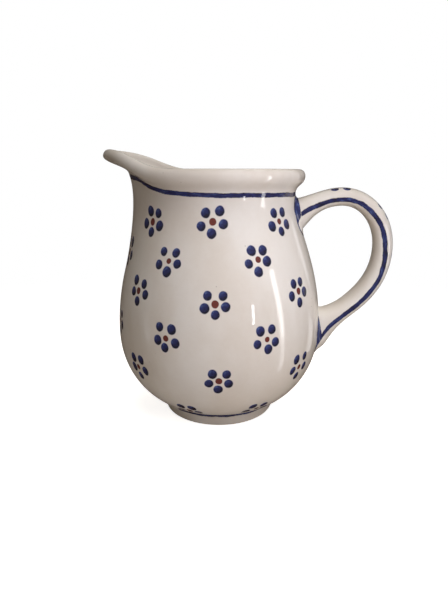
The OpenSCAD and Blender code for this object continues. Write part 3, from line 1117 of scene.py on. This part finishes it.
FLOOR_R = 1.6  # metres
floor_turns = np.radians(np.arange(0, 360, 3))
ring = np.stack([np.cos(floor_turns), np.sin(floor_turns), 0 * floor_turns], 1)
floor_mesh = bpy.data.meshes.new("floor")
floor_mesh.from_pydata((ring * FLOOR_R).tolist(), [], [list(range(len(ring)))])
floor = put("floor", floor_mesh)
floor.visible_glossy = False
floor_material = bpy.data.materials.new("pale_floor")
w = shader_tree(floor_material)
radius = w.move("LENGTH", w.add("TexCoord").outputs["Object"])
fading = w.between(radius, 0.07, 0.42)  # metres from the axis
matt = w.add("BsdfDiffuse", (0.82, 0.78, 0.73, 1.0)).outputs[0]
seen = w.add("LightPath").outputs["Is Camera Ray"]
glow = w.add("Emission", (1.0, 0.995, 0.985, 1.0), w.calc("MULTIPLY", seen, 0.84)).outputs[0]
pale = w.add("AddShader", matt, glow).outputs[0]
clear = w.add("BsdfTransparent").outputs[0]
w.add("OutputMaterial", w.add("MixShader", fading, pale, clear).outputs[0])
floor_mesh.materials.append(floor_material)
print("floor of", 2 * FLOOR_R, "m across")

# %% Surroundings
world = bpy.data.worlds.new("dim_warm_room")
bpy.context.scene.world = world
w = shader_tree(world)
upward = w.part(w.add("TexCoord").outputs["Generated"], "Z")
room = w.blend(w.between(upward, -0.5, 0.8), colour(124, 96, 74), colour(212, 203, 194))
dim = w.add("Background", room, 0.20).outputs[0]
white = w.add("Background", (1.0, 1.0, 1.0, 1.0), 1.0).outputs[0]
seen = w.add("LightPath").outputs["Is Camera Ray"]
w.add("OutputWorld", w.add("MixShader", seen, dim, white).outputs[0])
print("the camera sees white, and the jug sees a dim room")

# %% [markdown]
# ## Light
# Two kinds of light do two jobs. Soft area lamps shape the jug. The key stands close
# by, in front and to the right, so its light falls off quickly round the belly, and
# other lamps stand above, on the left and behind. They are hidden from reflections.
# What the glaze mirrors is a set of glowing cards, placed by the direction in which
# they are seen from the jug: a tall window on the right with a bright top, a slim
# light beside it, a faint one far on the left, and one behind for the other sides.


# %% Light helpers
def direction(azimuth, elevation):
    """The direction that far round from -Y towards +X, and that far up, in degrees."""
    a, e = math.radians(azimuth), math.radians(elevation)
    return np.array([math.sin(a) * math.cos(e), -math.cos(a) * math.cos(e), math.sin(e)])


AIM = np.array([0.0, 0.0, 0.065])


def soft_lamp(name, azimuth, elevation, distance, size, watts, tint=(1.0, 1.0, 1.0)):
    """A square area lamp that faces the jug, and that reflections don't see."""
    light = bpy.data.lights.new(name, "AREA")
    light.shape, light.size, light.energy, light.color = "SQUARE", size, watts, tint
    lamp = put(name, light)
    away = Vector(direction(azimuth, elevation))
    lamp.location = Vector(AIM) + away * distance
    lamp.rotation_euler = away.to_track_quat("Z", "Y").to_euler()
    lamp.visible_camera = lamp.visible_glossy = False
    return lamp


def glow_card(name, azimuths, elevations, strength, distance=1.5, slant=0.0, low_share=1.0):
    """A curved card between two azimuths and two elevations. Only reflections see it.

    slant is how many degrees its azimuth moves for each degree up. Below a height that is 37 to 47%
    of the way up, only low_share of its light is left.
    """
    across = np.linspace(*azimuths, 7)
    up = np.linspace(*elevations, 9)
    points = [AIM + distance * direction(a + slant * e, e) for e in up for a in across]
    faces = grid_faces(len(up), len(across), False)
    faces = faces[np.arange(len(faces)) % len(across) != len(across) - 1]
    mesh = bpy.data.meshes.new(name)
    mesh.from_pydata(np.array(points).tolist(), [], faces.tolist())
    card = put(name, mesh)
    card.visible_camera = card.visible_diffuse = card.visible_shadow = False
    material = bpy.data.materials.new(name)
    w = shader_tree(material)
    height = w.part(w.add("TexCoord").outputs["Object"], "Z")
    low, high = (float(AIM[2] + distance * direction(0, mix(*elevations, t))[2]) for t in (0.37, 0.47))
    light = w.between(height, low, high, strength * low_share, strength)
    w.add("OutputMaterial", w.add("Emission", (1.0, 1.0, 1.0, 1.0), light).outputs[0])
    mesh.materials.append(material)
    return card


print("lights aim at", AIM.tolist())

# %% Lights
# name, azimuth, elevation, metres away, metres wide, watts, tint
soft_lamp("near_key", 31, 25, 0.22, 0.12, 0.22, (1.0, 1.0, 1.12))
soft_lamp("high_key", 20, 69, 1.1, 0.6, 2.4)
soft_lamp("overhead", 60, 82, 1.0, 0.8, 2.4, (0.97, 0.98, 1.0))
soft_lamp("left_fill", -75, 35, 1.3, 0.8, 0.5, (1.0, 0.93, 0.86))
soft_lamp("back_fill", 165, 40, 1.3, 0.9, 6.0, (1.0, 0.97, 0.93))
# name, azimuths, elevations, strength
cards = [
    glow_card("tall_window", (66.5, 72.0), (-37, 20), 8.0, distance=0.3, slant=-0.16, low_share=0.35),
    glow_card("window_top", (70.5, 75), (8, 14), 4.5),
    glow_card("slim_light", (40.9, 43.5), (-4, 6), 14.0),
    glow_card("left_glow", (-81, -74), (-17, -7), 0.9),
    glow_card("back_window", (122, 134), (-25, 35), 1.2),
]

# %% [markdown]
# ## Camera
# The camera stands a short way off at about the height of the rim, turned a little
# towards the handle, and looks slightly down.

# %% Camera
camera_data = bpy.data.cameras.new("camera")
camera_data.lens, camera_data.sensor_width = 28.8, 36.0
camera_data.shift_x = 0.0082
camera = put("camera", camera_data)
AWAY, HEIGHT = 0.27494, 0.13684  # metres from the axis, and above the floor
TURN, TILT = 6.0, 14.744  # degrees towards the handle, and down
camera.location = (AWAY * math.sin(math.radians(TURN)), -AWAY * math.cos(math.radians(TURN)), HEIGHT)
camera.rotation_euler = (math.radians(90 - TILT), 0, math.radians(TURN))
camera_data.clip_start = 0.01
bpy.context.scene.camera = camera
bpy.context.scene.view_settings.view_transform = "Standard"
print("camera at", [round(v, 4) for v in camera.location])

# %% [markdown]
# ## Finish
# Last, the scene is brought up to date, so that each piece stands where its body puts it.

# %% Finish
bpy.context.view_layer.update()
